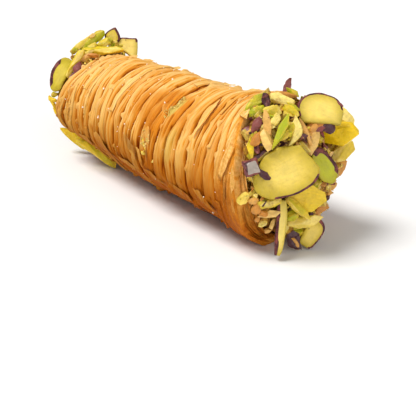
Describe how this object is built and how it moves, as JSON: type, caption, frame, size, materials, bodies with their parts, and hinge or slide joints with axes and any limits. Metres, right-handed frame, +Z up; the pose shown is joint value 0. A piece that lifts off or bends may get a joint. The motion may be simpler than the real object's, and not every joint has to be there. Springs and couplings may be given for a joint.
{
  "type": "baklava roll",
  "caption": "Baklava roll: a pleated tube of browned fillo pastry filled with pistachio, with chopped nuts heaped on both ends.",
  "frame": {"origin": "centre of the footprint, on the surface the roll lies on", "axes": "+X along the roll towards its fuller end, +Z up"},
  "size_m": [0.0958, 0.0338, 0.0359],
  "materials": {
    "pastry": "browned fillo pastry, satin with butter and syrup",
    "nut_paste": "chopped pistachio, moist",
    "nut_flesh": "cut pistachio kernel, satin"
  },
  "bodies": {
    "root": {"pastry_roll": "pastry", "pistachio_filling": "nut_paste", "front_half_large": "nut_flesh", "front_half_top": "nut_flesh", "front_wedge": "nut_flesh", "front_half_green": "nut_flesh", "front_slice_low": "nut_flesh", "front_sliver_long": "nut_flesh", "front_sliver_upper": "nut_flesh", "front_sliver_lower": "nut_flesh", "front_slice_foot": "nut_flesh", "front_chunk_pale": "nut_flesh", "front_chunk_side": "nut_flesh", "front_blade": "nut_flesh", "back_slice_side": "nut_flesh", "back_sliver_rise": "nut_flesh", "back_sliver_high": "nut_flesh", "back_chunk_green": "nut_flesh", "back_stick": "nut_flesh", "back_tip": "nut_flesh", "back_slice_top": "nut_flesh", "back_sliver_floor_short": "nut_flesh", "back_sliver_floor_long": "nut_flesh"}
  },
  "joints": []
}
